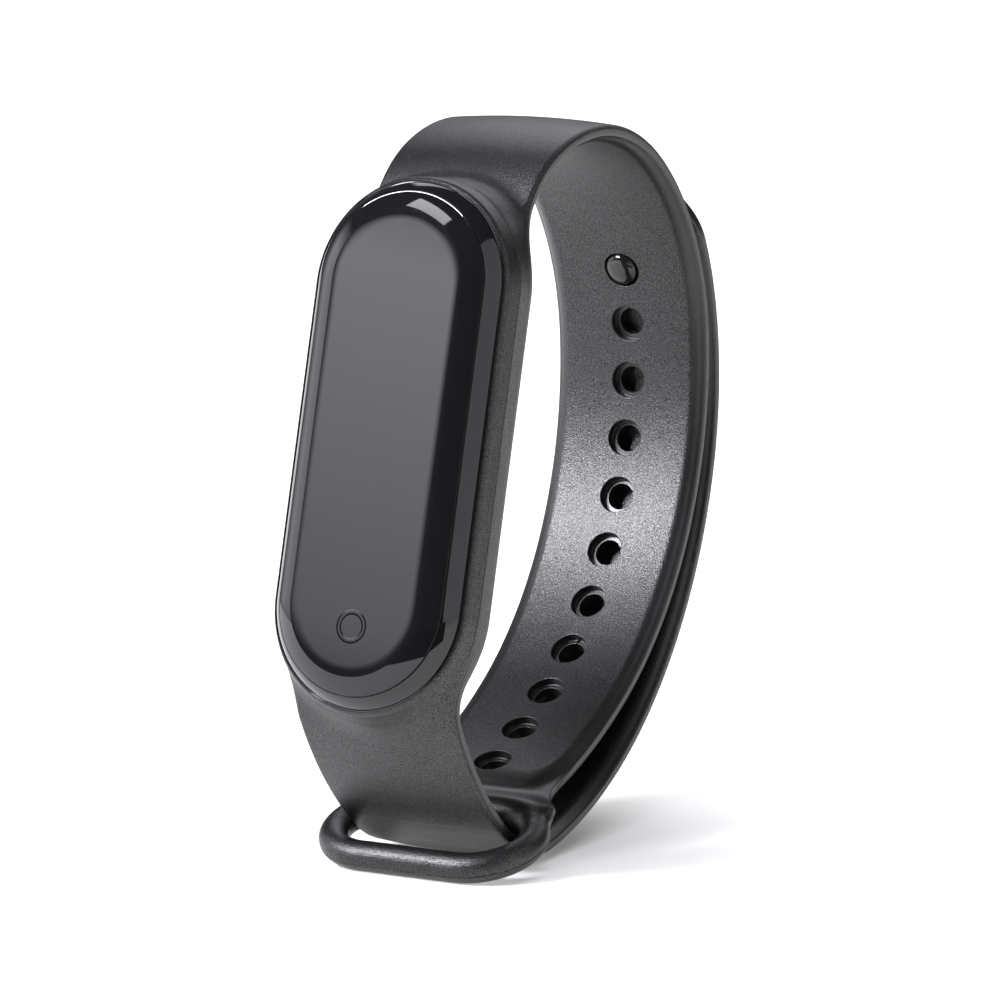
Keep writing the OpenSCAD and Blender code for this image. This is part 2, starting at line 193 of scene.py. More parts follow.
def turn_out(v):
    """Directions (x, d, h), taken to the row frame."""
    v = np.asarray(v, float).reshape(-1, 3)
    return np.stack([v[:, 0], v[:, 1] * COS + v[:, 2] * SIN, -v[:, 1] * SIN + v[:, 2] * COS], 1)


# Keeper loop: its rear bar takes the end of the hole side
_end_d, _end_h, _end_head = HOLE_SIDE.at(HOLE_SIDE.length)
LOOP_HEAD = _end_head + math.radians(5)
LOOP_ABOVE, LOOP_PAST = 0.9, 0.6  # where the bar's middle lies from the hole side's end
LOOP_REAR = (
    _end_d - LOOP_ABOVE * math.sin(_end_head) + LOOP_PAST * math.cos(_end_head),
    _end_h + LOOP_ABOVE * math.cos(_end_head) + LOOP_PAST * math.sin(_end_head),
)
LOOP_R, LOOP_HALF, LOOP_BAR = 4.8, 4.8, 1.35  # bend radius, half the straight length, bar radius


# ---------------------------------------------------------------- distance fields
def smooth_min(a, b, k):
    """Union with a fillet about k wide."""
    h = np.maximum(k - np.abs(a - b), 0) / k
    return np.minimum(a, b) - h * h * k * 0.25


def round_max(a, b, r):
    """Intersection with an edge rounded to radius r."""
    return np.minimum(np.maximum(a, b), -r) + np.hypot(np.maximum(a + r, 0), np.maximum(b + r, 0))


def groove(t):
    """Depth of the parting line, t across it."""
    return PART_DEPTH * np.exp(-((t / PART_WIDTH) ** 2))


def nearer(a, b):
    """Of two distances, the one closer to nought."""
    return np.where(np.abs(b) < np.abs(a), b, a)


def strap_solid(x, side, s, n, pad_end):
    """A strap's section: a body with a crowned outside, and the bevelled pad on the wrist."""
    top = n - THICK / 2 + CROWN * x * x
    shell = round_max(side + groove(n - PART_N), top, OUTER_EDGE)
    body = round_max(shell, -(n + STEP), FINE_EDGE)
    foot = round_max(side, END_BEVEL * (s - pad_end), PAD_CORNER)
    slope = BEVEL[0] * foot - BEVEL[1] * (n + STEP)
    pad = round_max(round_max(-(n + THICK / 2), slope, PAD_EDGE), shell, FINE_EDGE)
    return smooth_min(body, pad, PAD_FILLET)


def hole_cut(x, s, n):
    """The holes of the hole side: a bore with a recess round it on the wrist side.

    The first is in use: the stud's head has stretched it, so it has next to no recess.
    """
    i = np.clip(np.round((s - FIRST_HOLE) / HOLE_PITCH), 0, HOLE_COUNT - 1)
    far = np.hypot(x, s - FIRST_HOLE - i * HOLE_PITCH)
    bore = far - np.where(i == 0, USED_HOLE_R - USED_STEP, HOLE_R)
    wide = far - np.where(i == 0, USED_HOLE_R, RECESS_R)
    return np.minimum(bore, round_max(wide, n + STEP - RECESS_LIFT, RECESS_EDGE))


def hole_side(x, d, h):
    """The strap half from the holder's top to the keeper loop, with its holes."""
    s, n = HOLE_SIDE.locate(d, h)
    end = HOLE_SIDE.length
    flare = np.clip((s - end + FLARE_RUN) / FLARE_RUN, 0, 1)
    side = np.abs(x) - (HOLE_HALF + HOLE_WIDENING * h + FLARE * flare**FLARE_POWER)
    solid = strap_solid(x, side, s, n, end - PAD_SHORT)
    solid = round_max(solid, s - end - END_PAST, END_EDGE)
    return round_max(solid, -hole_cut(x, s, n), HOLE_EDGE)


def stud_side(x, d, h):
    """The strap half from the holder's bottom to its round tip, and how far along it points lie."""
    s, n = STUD_SIDE.locate(d, -h)
    half = STUD_HALF - STUD_TAPER * s
    tip = STUD_SIDE.length - half
    side = np.hypot(x, np.maximum(s - tip, 0)) - half
    return strap_solid(x, side, s, n, NO_PAD_END), s


def holder(x, d, h):
    """The pill-shaped holder, still solid, and how far points lie from the pill's middle."""
    q = np.hypot(x, np.maximum(np.abs(h) - END_H, 0))
    taper = np.where(d < PART_D, FRONT_TAPER * (PART_D - d), BACK_TAPER * (d - PART_D))
    wall = q - HOLDER_R + taper + groove(d - PART_D)
    ring = round_max(wall, HOLDER_FRONT - d, HOLDER_FRONT_EDGE)
    return round_max(ring, d - HOLDER_BACK, HOLDER_BACK_EDGE), q


def keeper(x, d, h):
    """The round bar of the keeper loop, and how far out in and off its plane points lie."""
    c, s = math.cos(LOOP_HEAD), math.sin(LOOP_HEAD)
    g = (d - LOOP_REAR[0]) * c + (h - LOOP_REAR[1]) * s - LOOP_R
    m = (h - LOOP_REAR[1]) * c - (d - LOOP_REAR[0]) * s
    q = np.hypot(np.maximum(np.abs(x) - LOOP_HALF, 0), g) - LOOP_R
    return np.hypot(q, m) - LOOP_BAR + groove(m - PART_M) * (q > 0), q, m


HOLE_FILLET, STUD_FILLET, LOOP_FILLET = 2.6, 2.4, 2.3
LAP_S = 33.0  # the two pieces of the stud side lap here, under the keeper loop
LAP, LAP_EDGE = 1.2, 0.1
SKIN = 0.02  # the tail is this much thinner, so that the two don't coincide in the lap


def band_field(x, d, h):
    """Holder, hole side, keeper loop, and the stud side down to the loop: one moulding."""
    case, q = holder(x, d, h)
    strap_a = smooth_min(case, hole_side(x, d, h), HOLE_FILLET)
    strap_b, s_b = stud_side(x, d, h)
    strap_b = round_max(strap_b, s_b - LAP_S - LAP, LAP_EDGE)
    loop = keeper(x, d, h)[0]
    strap_a = smooth_min(strap_a, loop, LOOP_FILLET)
    solid = np.minimum(strap_a, smooth_min(case, strap_b, STUD_FILLET))
    room = np.maximum(q - ROOM_R, d - ROOM_BACK)
    opening = np.maximum(q - LIP_R, d - ROOM_THROUGH)
    return round_max(solid, -np.minimum(room, opening), ROOM_EDGE)


def tail_field(x, d, h):
    """The stud side from the keeper loop to its tip."""
    solid, s = stud_side(x, d, h)
    return round_max(solid + SKIN, LAP_S - s, LAP_EDGE)


def seam_of(x, d, h):
    """How far a point lies from the moulding's parting line, across it."""
    s_a, n_a = HOLE_SIDE.locate(d, h)
    n_a = np.where(s_a > HOLE_SIDE.length + 1, FAR, n_a)
    n_b = STUD_SIDE.locate(d, -h)[1]
    loop, q, m = keeper(x, d, h)
    seam = np.where(np.abs(holder(x, d, h)[0]) < NEAR, d - PART_D, nearer(n_a, n_b) - PART_N)
    return np.where((np.abs(loop) < NEAR) & (q > 0), m - PART_M, seam)


# ---------------------------------------------------------------- meshes from fields
LEAST_SLOPE, LONGEST_MOVE = 0.3, 0.1  # keep points from jumping where a field is odd
SLAB = 8  # planes of the grid that are worked out at a time
TURN, SHORTEST = 15.0, 0.085  # edges that bend more and are longer are split
SEAM_JUMP = 1.0  # a bigger change in seam_of() is a step between its parts, not a crossing


def slopes(field, p, step=0.004):
    """The field's gradient at each point."""
    g = np.empty_like(p)
    for axis in range(3):
        up, down = p.copy(), p.copy()
        up[:, axis] += step
        down[:, axis] -= step
        g[:, axis] = (field(*up.T) - field(*down.T)) / (2 * step)
    return g


def directions(field, p):
    """The field's gradient at each point, brought to unit length."""
    g = slopes(field, p)
    return g / (np.linalg.norm(g, axis=1)[:, None] + 1e-9)


def settle(field, p, rounds=4):
    """Moves points onto the field's surface."""
    for _ in range(rounds):
        g = slopes(field, p)
        size = np.maximum((g * g).sum(1), LEAST_SLOPE)
        p = p - np.clip(field(*p.T) / size, -LONGEST_MOVE, LONGEST_MOVE)[:, None] * g
    return p


def net(field, low, high, pitch):
    """Closed mesh of a field's surface, by surface nets on a regular grid."""
    low = np.array(low, float)
    count = np.ceil((np.array(high) - low) / pitch).astype(int) + 1
    x, d, h = (low[i] + np.arange(count[i]) * pitch for i in range(3))
    values = np.concatenate([
        field(x[i:i + SLAB, None, None], d[None, :, None], h[None, None, :])
        for i in range(0, len(x), SLAB)
    ])
    inside = values < 0
    cells = count - 1
    corners = [np.array((i, j, k)) for i in (0, 1) for j in (0, 1) for k in (0, 1)]

    def shifted(a, c):
        return a[c[0]:c[0] + cells[0], c[1]:c[1] + cells[1], c[2]:c[2] + cells[2]]

    full = sum(shifted(inside, c).astype(np.int8) for c in corners)
    active = (full > 0) & (full < 8)
    where = np.argwhere(active)
    number = np.full(cells, -1, np.int64)
    number[active] = np.arange(len(where))
    total, hits = np.zeros((len(where), 3)), np.zeros(len(where))
    for a in corners:
        for axis in range(3):
            if a[axis]:
                continue
            b = a + np.eye(3, dtype=int)[axis]
            va, vb = values[tuple((where + a).T)], values[tuple((where + b).T)]
            cross = (va < 0) != (vb < 0)
            t = np.where(cross, va / np.where(cross, va - vb, 1), 0)
            total += (a + t[:, None] * (b - a)) * cross[:, None]
            hits += cross
    points = low + (where + total / hits[:, None]) * pitch
    faces = []
    for axis in range(3):
        b, c = (np.eye(3, dtype=int)[(axis + i) % 3] for i in (1, 2))
        size = count - np.eye(3, dtype=int)[axis]
        first = inside[:size[0], :size[1], :size[2]]
        second = inside[count[0] - size[0]:, count[1] - size[1]:, count[2] - size[2]:]
        e = np.argwhere(first != second)
        e = e[((e - b - c) >= 0).all(1) & (e < cells).all(1)]
        quad = np.stack([number[tuple((e - o).T)] for o in (b + c, c, 0 * b, b)], 1)
        back = ~first[tuple(e.T)]
        quad[back] = quad[back][:, ::-1]
        faces.append(quad)
    quads = np.concatenate(faces)
    one, other = (
        np.linalg.norm(points[quads[:, i]] - points[quads[:, i + 2]], axis=1) for i in (0, 1)
    )
    first = (one <= other)[:, None, None]
    split = np.where(first, quads[:, [[0, 1, 2], [0, 2, 3]]], quads[:, [[0, 1, 3], [1, 2, 3]]])
    return points, split.reshape(-1, 3)


def refine(field, points, faces, rounds=4):
    """Splits edges that cross a bend or the parting line, and settles the new points."""
    least = math.cos(math.radians(TURN))
    normals, marks = directions(field, points), seam_of(*points.T)
    for _ in range(rounds):
        sides = np.sort(faces[:, [[0, 1], [1, 2], [2, 0]]].reshape(-1, 2), axis=1)
        edges, which = np.unique(sides, axis=0, return_inverse=True)
        which = which.reshape(-1, 3)
        a, b = edges.T
        length = np.linalg.norm(points[a] - points[b], axis=1)
        bent = (normals[a] * normals[b]).sum(1) < least
        crossed = (marks[a] * marks[b] < 0) & (np.abs(marks[a] - marks[b]) < SEAM_JUMP)
        split = (bent | crossed) & (length > SHORTEST)
        new = np.full(len(edges), -1)
        new[split] = len(points) + np.arange(split.sum())
        middle = settle(field, (points[a[split]] + points[b[split]]) / 2, rounds=3)
        points = np.concatenate([points, middle])
        normals = np.concatenate([normals, directions(field, middle)])
        marks = np.concatenate([marks, seam_of(*middle.T)])
        mid = new[which]
        cut = mid >= 0
        count = cut.sum(1)
        out = [faces[count == 0]]
        for k in range(3):
            order = [k, (k + 1) % 3, (k + 2) % 3]
            f, m = faces[:, order], mid[:, order]
            one = (count == 1) & cut[:, k]
            out += [np.stack([f[one, 0], m[one, 0], f[one, 2]], 1)]
            out += [np.stack([m[one, 0], f[one, 1], f[one, 2]], 1)]
            two = (count == 2) & ~cut[:, order[2]]
            out += [np.stack([m[two, 0], f[two, 1], m[two, 1]], 1)]
            out += [np.stack([f[two, 0], m[two, 0], m[two, 1]], 1)]
            out += [np.stack([f[two, 0], m[two, 1], f[two, 2]], 1)]
        three = count == 3
        f, m = faces[three], mid[three]
        for k in range(3):
            out += [np.stack([f[:, k], m[:, k], m[:, k - 1]], 1)]
        out += [m]
        faces = np.concatenate(out)
    return points, faces, normals


def link(name, data):
    """A new object of this data, in the scene."""
    obj = bpy.data.objects.new(name, data)
    bpy.context.scene.collection.objects.link(obj)
    return obj


def make_object(name, points, faces, normals=None):
    """A smooth mesh object of points in the side plane's millimetres."""
    mesh = bpy.data.meshes.new(name)
    mesh.from_pydata(place(points).tolist(), [], [list(f) for f in faces])
    mesh.polygons.foreach_set("use_smooth", [True] * len(mesh.polygons))
    if normals is not None:
        mesh.normals_split_custom_set_from_vertices(turn_out(normals).tolist())
    mesh.validate()
    return link(name, mesh)


def put_values(obj, name, values):
    """Stores one number for each point, for the material to read."""
    layer = obj.data.attributes.new(name, "FLOAT", "POINT")
    layer.data.foreach_set("value", np.asarray(values, np.float32))


def grain_of(x, d, h):
    """1 on the strap's broad faces, less on its bevels and sides, which are polished."""
    n = nearer(HOLE_SIDE.locate(d, h)[1], STUD_SIDE.locate(d, -h)[1])
    outside = (n + CROWN * x * x - GRAIN_OUTSIDE) / GRAIN_OUTSIDE_DEPTH
    wrist_side = (-GRAIN_WRIST - n) / GRAIN_WRIST_DEPTH
    other = (np.abs(holder(x, d, h)[0]) < NEAR) | (np.abs(keeper(x, d, h)[0]) < NEAR)
    return np.where(other, 1.0, np.clip(np.maximum(outside, wrist_side), 0, 1))


def moulding(name, field, low, high, pitch):
    """A field's surface as one object, with its parting line and grain stored for the rubber."""
    points, faces = net(field, low, high, pitch)
    points, faces, normals = refine(field, settle(field, points), faces)
    obj = make_object(name, points, faces, normals)
    put_values(obj, "seam", seam_of(*points.T))
    put_values(obj, "grain", grain_of(*points.T))
    return obj


# ---------------------------------------------------------------- swept and turned pieces
def arc(cx, cz, r, start, end, steps):
    """Points of an arc in a side profile, by angle in degrees."""
    angles = np.radians(np.linspace(start, end, steps + 1))
    return [(cx + r * math.cos(a), cz + r * math.sin(a)) for a in angles]


def outline(steps=72, side_steps=14):
    """Stations of the capsule's pill outline: centre height and outward direction."""
    stations = []
    for sign in (1, -1):
        for i in range(steps + 1):
            a = math.pi * i / steps
            stations.append((sign * END_H, sign * math.cos(a), sign * math.sin(a)))
        for i in range(1, side_steps):
            stations.append((sign * END_H * (1 - 2 * i / side_steps), -sign, 0.0))
    return stations


def skin(name, points, n, m, capped):
    """An object over m copies of a profile of n points, closed either by caps or by the profile."""
    faces = []
    for i in range(m):
        j = (i + 1) % m
        for k in range(n - 1 if capped else n):
            l = (k + 1) % n
            faces.append((i * n + k, j * n + k, j * n + l, i * n + l))
    if capped:
        faces.append([i * n for i in range(m)][::-1])
        faces.append([i * n + n - 1 for i in range(m)])
    obj = make_object(name, points, faces)
    obj.data.set_sharp_from_angle(angle=SHARP)
    return obj


def pill_sweep(name, profile, capped=False):
    """Sweeps a side profile of (radius, height) points round the pill outline."""
    stations = outline()
    points = [(r * cx, -z, ch + r * cy) for ch, cx, cy in stations for r, z in profile]
    return skin(name, points, len(profile), len(stations), capped)


def turned(name, profile, steps, at, axis):
    """Turns a side profile of (radius, height) points about an axis, through at."""
    axis = np.array(axis, float) / np.linalg.norm(axis)
    u = np.array((1.0, 0.0, 0.0))
    v = np.cross(axis, u)
    points = []
    for i in range(steps):
        a = 2 * math.pi * i / steps
        ring = math.cos(a) * u + math.sin(a) * v
        points += [np.array(at) + r * ring + z * axis for r, z in profile]
    return skin(name, points, len(profile), steps, True)


def slope_curve(start, run, steep, steps):
    """A falling curve from (r, z) over a run outward, its slope going between two angles."""
    r, z = start
    points = [start]
    for i in range(steps):
        angle = math.radians(steep[0] + (steep[1] - steep[0]) * (i + 0.5) / steps)
        r += run / steps
        z -= run / steps * math.tan(angle)
        points.append((r, z))
    return points


def make_lens():
    """The glass: nearly flat, with a bevel that steepens outward down to the gap."""
    flat = [(1.0, LENS_TOP), (CROWN_R, LENS_TOP)]
    rim = slope_curve(flat[-1], LENS_FLAT_R - CROWN_R, (0, 4), 10)
    edge = slope_curve(rim[-1], LENS_R - LENS_FLAT_R - 0.05, (22.5, 37), 24)
    lip = arc(LENS_R - LENS_LIP, edge[-1][1] - 0.03, LENS_LIP, 45, 0, 3)
    foot = [(LENS_R, LENS_FOOT + 0.02), (LENS_R - 0.1, LENS_FOOT)]
    return pill_sweep("lens_cover", flat + rim[1:] + edge[1:] + lip + foot, capped=True)


def make_bezel():
    """The glossy ring, which carries the lens's bevel on, with its ledge and its skirt."""
    inner, ledge, ledge_r = LENS_R + GAP, 0.85, 6.9
    top = [(inner, 1.15)] + arc(inner + BEZEL_LIP, 1.205, BEZEL_LIP, 175, 50, 4)
    side = slope_curve(top[-1], BEZEL_R - 0.09 - top[-1][0], (41, 64), 22)
    turn_in = arc(BEZEL_R - 0.34, -0.02, 0.34, 38, 0, 10)
    turn_in = [p for p in turn_in if p[1] < side[-1][1] - 0.02]
    foot_edge = 0.08
    profile = (
        [(ledge_r, 0.0), (ledge_r, ledge), (inner, ledge)] + top + side[1:] + turn_in
        + arc(BEZEL_R - foot_edge, 0.0, foot_edge, -10, -90, 4)
        + [(SKIRT_OUT, -foot_edge), (SKIRT_OUT, SKIRT_BACK)]
        + [(SKIRT_IN, SKIRT_BACK), (SKIRT_IN, 0.0)]
    )
    return pill_sweep("bezel_ring", profile[::-1])


def stud_frame():
    """Where the stud goes through the strap, and its direction away from the wrist."""
    d, h, head = STUD_SIDE.at(STUD_S)
    return (0.0, d, -h), (0.0, -math.sin(head), -math.cos(head))


def make_stud():
    """The stud's domed head and its neck."""
    at, out = stud_frame()
    top, edge, dome_rise = -HEAD_DEPTH, 0.14, 0.62
    angles = np.radians(np.linspace(3, 90, 18))
    dome = [(HEAD_R * math.sin(a), top - 0.05 - dome_rise * math.cos(a)) for a in angles]
    under = arc(HEAD_R - edge, top + 0.2, edge, 0, 90, 5)
    neck = [(NECK_R, top + 0.5), (NECK_R, THICK / 2 + 0.1)]
    return turned("snap_stud", (dome + under + neck)[::-1], 64, at, out)


def make_cap():
    """The stud's flat cap on the outside of the tail, with a low rim."""
    at, out = stud_frame()
    base = THICK / 2 + 0.12
    profile = (
        [(3.2, base)]
        + arc(3.3, base + 0.2, 0.2, -90, 0, 5)
        + arc(3.1, base + 0.45, 0.4, 0, 90, 8)
        + [(2.75, base + 0.86)]
        + arc(2.55, base + 0.9, 0.09, 20, 160, 5)
        + [(2.3, base + 0.8), (0.3, base + 0.76)]
    )
    return turned("snap_cap", profile, 96, at, out)


# ---------------------------------------------------------------- materials
WHITE = (1.0, 1.0, 1.0, 1.0)
LENS_BLACK = (0.004, 0.004, 0.0045)


def empty_material(name):
    """A material and its empty node tree."""
    mat = bpy.data.materials.new(name)
    mat.use_nodes = True
    mat.node_tree.nodes.clear()
    return mat, mat.node_tree


def start_material(name):
    """A material with one Principled shader, joined to its output."""
    mat, tree = empty_material(name)
    out = tree.nodes.new("ShaderNodeOutputMaterial")
    shader = tree.nodes.new("ShaderNodeBsdfPrincipled")
    tree.links.new(shader.outputs[0], out.inputs[0])
    return mat, tree, shader


def add(tree, kind, values=None, **settings):
    """Adds a node, sets its fields, and fills or links its inputs."""
    node = tree.nodes.new("ShaderNode" + kind)
    for key, value in settings.items():
        setattr(node, key, value)
    for key, value in (values or {}).items():
        if isinstance(value, bpy.types.NodeSocket):
            tree.links.new(value, node.inputs[key])
        else:
            node.inputs[key].default_value = value
    return node


def math_node(tree, op, a, b=0.0):
    """Result of a Math node over one or two numbers."""
    return add(tree, "Math", {0: a, 1: b}, operation=op).outputs[0]


def spread(tree, value, low, high, to_low, to_high):
    """Maps a number from one range to another, held at its ends."""
    return add(
        tree, "MapRange",
        {"Value": value, "From Min": low, "From Max": high, "To Min": to_low, "To Max": to_high},
    ).outputs[0]


def noise(tree, coords, scale, detail=2.0, rough=0.5):
    """A noise of about 0 to 1; the scale counts its waves in a metre."""
    return add(
        tree, "TexNoise", {"Vector": coords, "Scale": scale, "Detail": detail, "Roughness": rough}
    ).outputs[0]


def object_coords(tree):
    """Coordinates in the object's own metres."""
    return add(tree, "TexCoord").outputs["Object"]


def blend_colour(tree, share, a, b):
    """From colour a, where share is 0, to colour b, where it is 1."""
    node = add(tree, "Mix", data_type="RGBA")
    tree.links.new(share, node.inputs["Factor"])
    for key, value in ((6, a), (7, b)):
        if isinstance(value, bpy.types.NodeSocket):
            tree.links.new(value, node.inputs[key])
        else:
            node.inputs[key].default_value = (*value, 1.0)
    return node.outputs[2]


def set_bump(tree, shader, height, strength, distance):
    """Relief in the shader's normal; the distance is in metres."""
    bump = add(tree, "Bump", {"Height": height, "Strength": strength, "Distance": distance})
    tree.links.new(bump.outputs[0], shader.inputs["Normal"])


def rubber():
    """Strap rubber: eroded grain on its broad faces, smoother sides and a dark parting line."""
    mat, tree, shader = start_material("strap_tpu")
    at = object_coords(tree)
    grain = add(tree, "Attribute", attribute_name="grain").outputs["Fac"]
    seam = add(tree, "Attribute", attribute_name="seam").outputs["Fac"]
    line = spread(tree, math_node(tree, "ABSOLUTE", seam), 0.03, 0.085, 1.0, 0.0)
    fine = noise(tree, at, 7000.0, detail=3.0, rough=0.6)
    cloud = spread(tree, noise(tree, at, 260.0, detail=3.0, rough=0.55), 0.3, 0.7, 0.0, 1.0)

    height = math_node(tree, "MULTIPLY", fine, spread(tree, grain, 0.0, 1.0, 0.3, 1.0))
    set_bump(tree, shader, height, 1.0, 0.04 * MM)

    base = blend_colour(tree, cloud, (0.0036, 0.0036, 0.0039), (0.0056, 0.0055, 0.006))
    base = blend_colour(tree, math_node(tree, "MULTIPLY", line, 0.9), base, (0.002, 0.002, 0.002))
    tree.links.new(base, shader.inputs["Base Color"])

    # The grain's facets glint: the gloss rises and falls round its usual level of 0.5.
    glint = spread(tree, noise(tree, at, 11500.0, detail=1.0), 0.36, 0.66, 0.0, 1.0)
    glint = math_node(tree, "MULTIPLY", math_node(tree, "SUBTRACT", glint, 0.5), grain)
    level = math_node(tree, "ADD", 0.5, math_node(tree, "MULTIPLY", glint, 0.65))
    tree.links.new(level, shader.inputs["Specular IOR Level"])

    rough = math_node(tree, "ADD", 0.3, math_node(tree, "MULTIPLY", fine, 0.14))
    rough = math_node(tree, "ADD", rough, math_node(tree, "MULTIPLY", line, 0.3))
    tree.links.new(rough, shader.inputs["Roughness"])
    shader.inputs["IOR"].default_value = 1.56
    return mat


def gloss_black(name, colour, rough, mark=False):
    """Polished black: faint smears and the odd speck in its gloss."""
    mat, tree, shader = start_material(name)
    at = object_coords(tree)
    smear = noise(tree, at, 90.0, detail=4.0, rough=0.6)
    speck = noise(tree, at, 3000.0)
    gloss = spread(tree, smear, 0.35, 0.75, rough, rough + 0.035)
    gloss = math_node(tree, "ADD", gloss, spread(tree, speck, 0.72, 0.8, 0.0, 0.1))
    tint = blend_colour(tree, smear, colour, tuple(c * 1.6 for c in colour))
    if mark:
        ring = touch_mark(tree, at)
        tint = blend_colour(tree, ring, tint, (0.001, 0.001, 0.001))
        set_bump(tree, shader, ring, 1.0, 0.000012)
    tree.links.new(gloss, shader.inputs["Roughness"])
    tree.links.new(tint, shader.inputs["Base Color"])
    shader.inputs["IOR"].default_value = 1.5
    return mat


MARK_H, MARK_R, MARK_LINE = -16.0, 1.25, 0.17  # place, radius and line width, in millimetres


def touch_mark(tree, at):
    """A plain printed ring near the display's lower end, where the touch key is."""
    centre = place((0.0, -LENS_TOP, MARK_H))[0]
    away = add(tree, "VectorMath", {0: at, 1: tuple(centre)}, operation="DISTANCE").outputs["Value"]
    off = math_node(tree, "ABSOLUTE", math_node(tree, "SUBTRACT", away, MARK_R * MM))
    return spread(tree, off, MARK_LINE * MM * 0.6, MARK_LINE * MM * 1.4, 1.0, 0.0)


def plain_plastic(name, colour, rough, metallic=0.0, grain=2600.0, depth=0.00001, swing=0.25):
    """A moulded or rolled part: fine texture, slight changes of colour and gloss."""
    mat, tree, shader = start_material(name)
    at = object_coords(tree)
    fine = noise(tree, at, grain, detail=3.0, rough=0.6)
    broad = noise(tree, at, grain / 12)
    low, high = (tuple(min(c * k, 1.0) for c in colour) for k in (1 - swing, 1 + swing))
    tint = blend_colour(tree, spread(tree, broad, 0.3, 0.7, 0.0, 1.0), low, high)
    tree.links.new(tint, shader.inputs["Base Color"])
    gloss = spread(tree, fine, 0.3, 0.7, rough - 0.05, rough + 0.08)
    tree.links.new(gloss, shader.inputs["Roughness"])
    shader.inputs["Metallic"].default_value = metallic
    set_bump(tree, shader, fine, 0.4, depth)
    return mat


def brushed(name, colour, rough):
    """Metal with fine lines along x."""
    mat, tree, shader = start_material(name)
    stretch = {"Vector": object_coords(tree), "Scale": (400.0, 9000.0, 9000.0)}
    streak = noise(tree, add(tree, "Mapping", stretch).outputs[0], 1.0, detail=3.0, rough=0.6)
    low, high = (tuple(min(c * k, 1.0) for c in colour) for k in (0.75, 1.2))
    tree.links.new(blend_colour(tree, streak, low, high), shader.inputs["Base Color"])
    gloss = spread(tree, streak, 0.3, 0.7, rough - 0.06, rough + 0.1)
    tree.links.new(gloss, shader.inputs["Roughness"])
    shader.inputs["Metallic"].default_value = 1.0
    set_bump(tree, shader, streak, 0.3, 0.000008)
    return mat


def circuit(name):
    """Green solder mask over copper tracks, with tinned pads."""
    mat, tree, shader = start_material(name)
    at = object_coords(tree)
    tracks = add(tree, "TexBrick", {
        "Vector": at, "Scale": 900.0, "Mortar Size": 0.06, "Brick Width": 1.3, "Row Height": 0.4,
        "Color1": (0.012, 0.09, 0.035, 1), "Color2": (0.014, 0.11, 0.04, 1),
        "Mortar": (0.02, 0.2, 0.07, 1),
    })
    pads = add(tree, "TexVoronoi", {"Vector": at, "Scale": 1100.0, "Randomness": 0.35}).outputs[0]
    pad = spread(tree, pads, 0.16, 0.2, 1.0, 0.0)
    tint = blend_colour(tree, pad, tracks.outputs[0], (0.55, 0.5, 0.38))
    tree.links.new(tint, shader.inputs["Base Color"])
    tree.links.new(spread(tree, pad, 0.0, 1.0, 0.35, 0.25), shader.inputs["Roughness"])
    set_bump(tree, shader, tracks.outputs[1], 0.3, 0.00002)
    return mat


def apply_to_node(name, mat):
    """Gives a CAD node its material, in every slot."""
    obj = frame["nodes"][name]
    if not obj.material_slots:
        obj.data.materials.append(mat)
    for slot in obj.material_slots:
        slot.material = mat


def finish_piece(obj, mat, body, slot, *nodes):
    """Gives a new piece its material and its body, and hides the CAD nodes it stands for; the slot
    argument is not used.
    """
    obj.data.materials.append(mat)
    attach(obj, body)
    if nodes:
        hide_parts(*nodes)


# ---------------------------------------------------------------- the object
# The grids' corners (x, d, h), which leave a little room round each moulding, and their steps
BAND_GRID = (-11.6, -0.9, -38.0), (11.6, 46.5, 34.0), 0.32
TAIL_GRID = (-8.6, 3.0, -37.0), (8.6, 48.5, 31.0), 0.34


def make_straps():
    """The band's moulding, which stays, and the stud side's tail, a separate object."""
    tpu = rubber()
    band = moulding("band_moulding", band_field, *BAND_GRID)
    finish_piece(
        band, tpu, "band", "strap_tpu", "band_holder", "strap_top", "strap_hole_side", "keeper_loop"
    )
    tail = moulding("tail_strap", tail_field, *TAIL_GRID)
    tail.data.materials.append(tpu)
    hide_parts("strap_stud_side", "strap_tail")
    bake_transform(tail)


def make_capsule():
    """The capsule's visible front: glass and bezel."""
    glass = gloss_black("lens_glass", LENS_BLACK, 0.03, mark=True)
    finish_piece(make_lens(), glass, "capsule", "lens_glass", "lens")
    gloss = gloss_black("bezel_gloss", LENS_BLACK, 0.045)
    finish_piece(make_bezel(), gloss, "capsule", "bezel_gloss", "front_bezel")


def make_snap():
    """The stud and its cap, which go with the tail."""
    gloss = gloss_black("stud_gloss", (0.006, 0.006, 0.006), 0.08)
    finish_piece(make_stud(), gloss, "tail", "stud_gloss", "stud")
    satin = plain_plastic("stud_cap_satin", (0.018, 0.018, 0.019), 0.38)
    finish_piece(make_cap(), satin, "tail", "stud_cap_satin", "stud_cap")


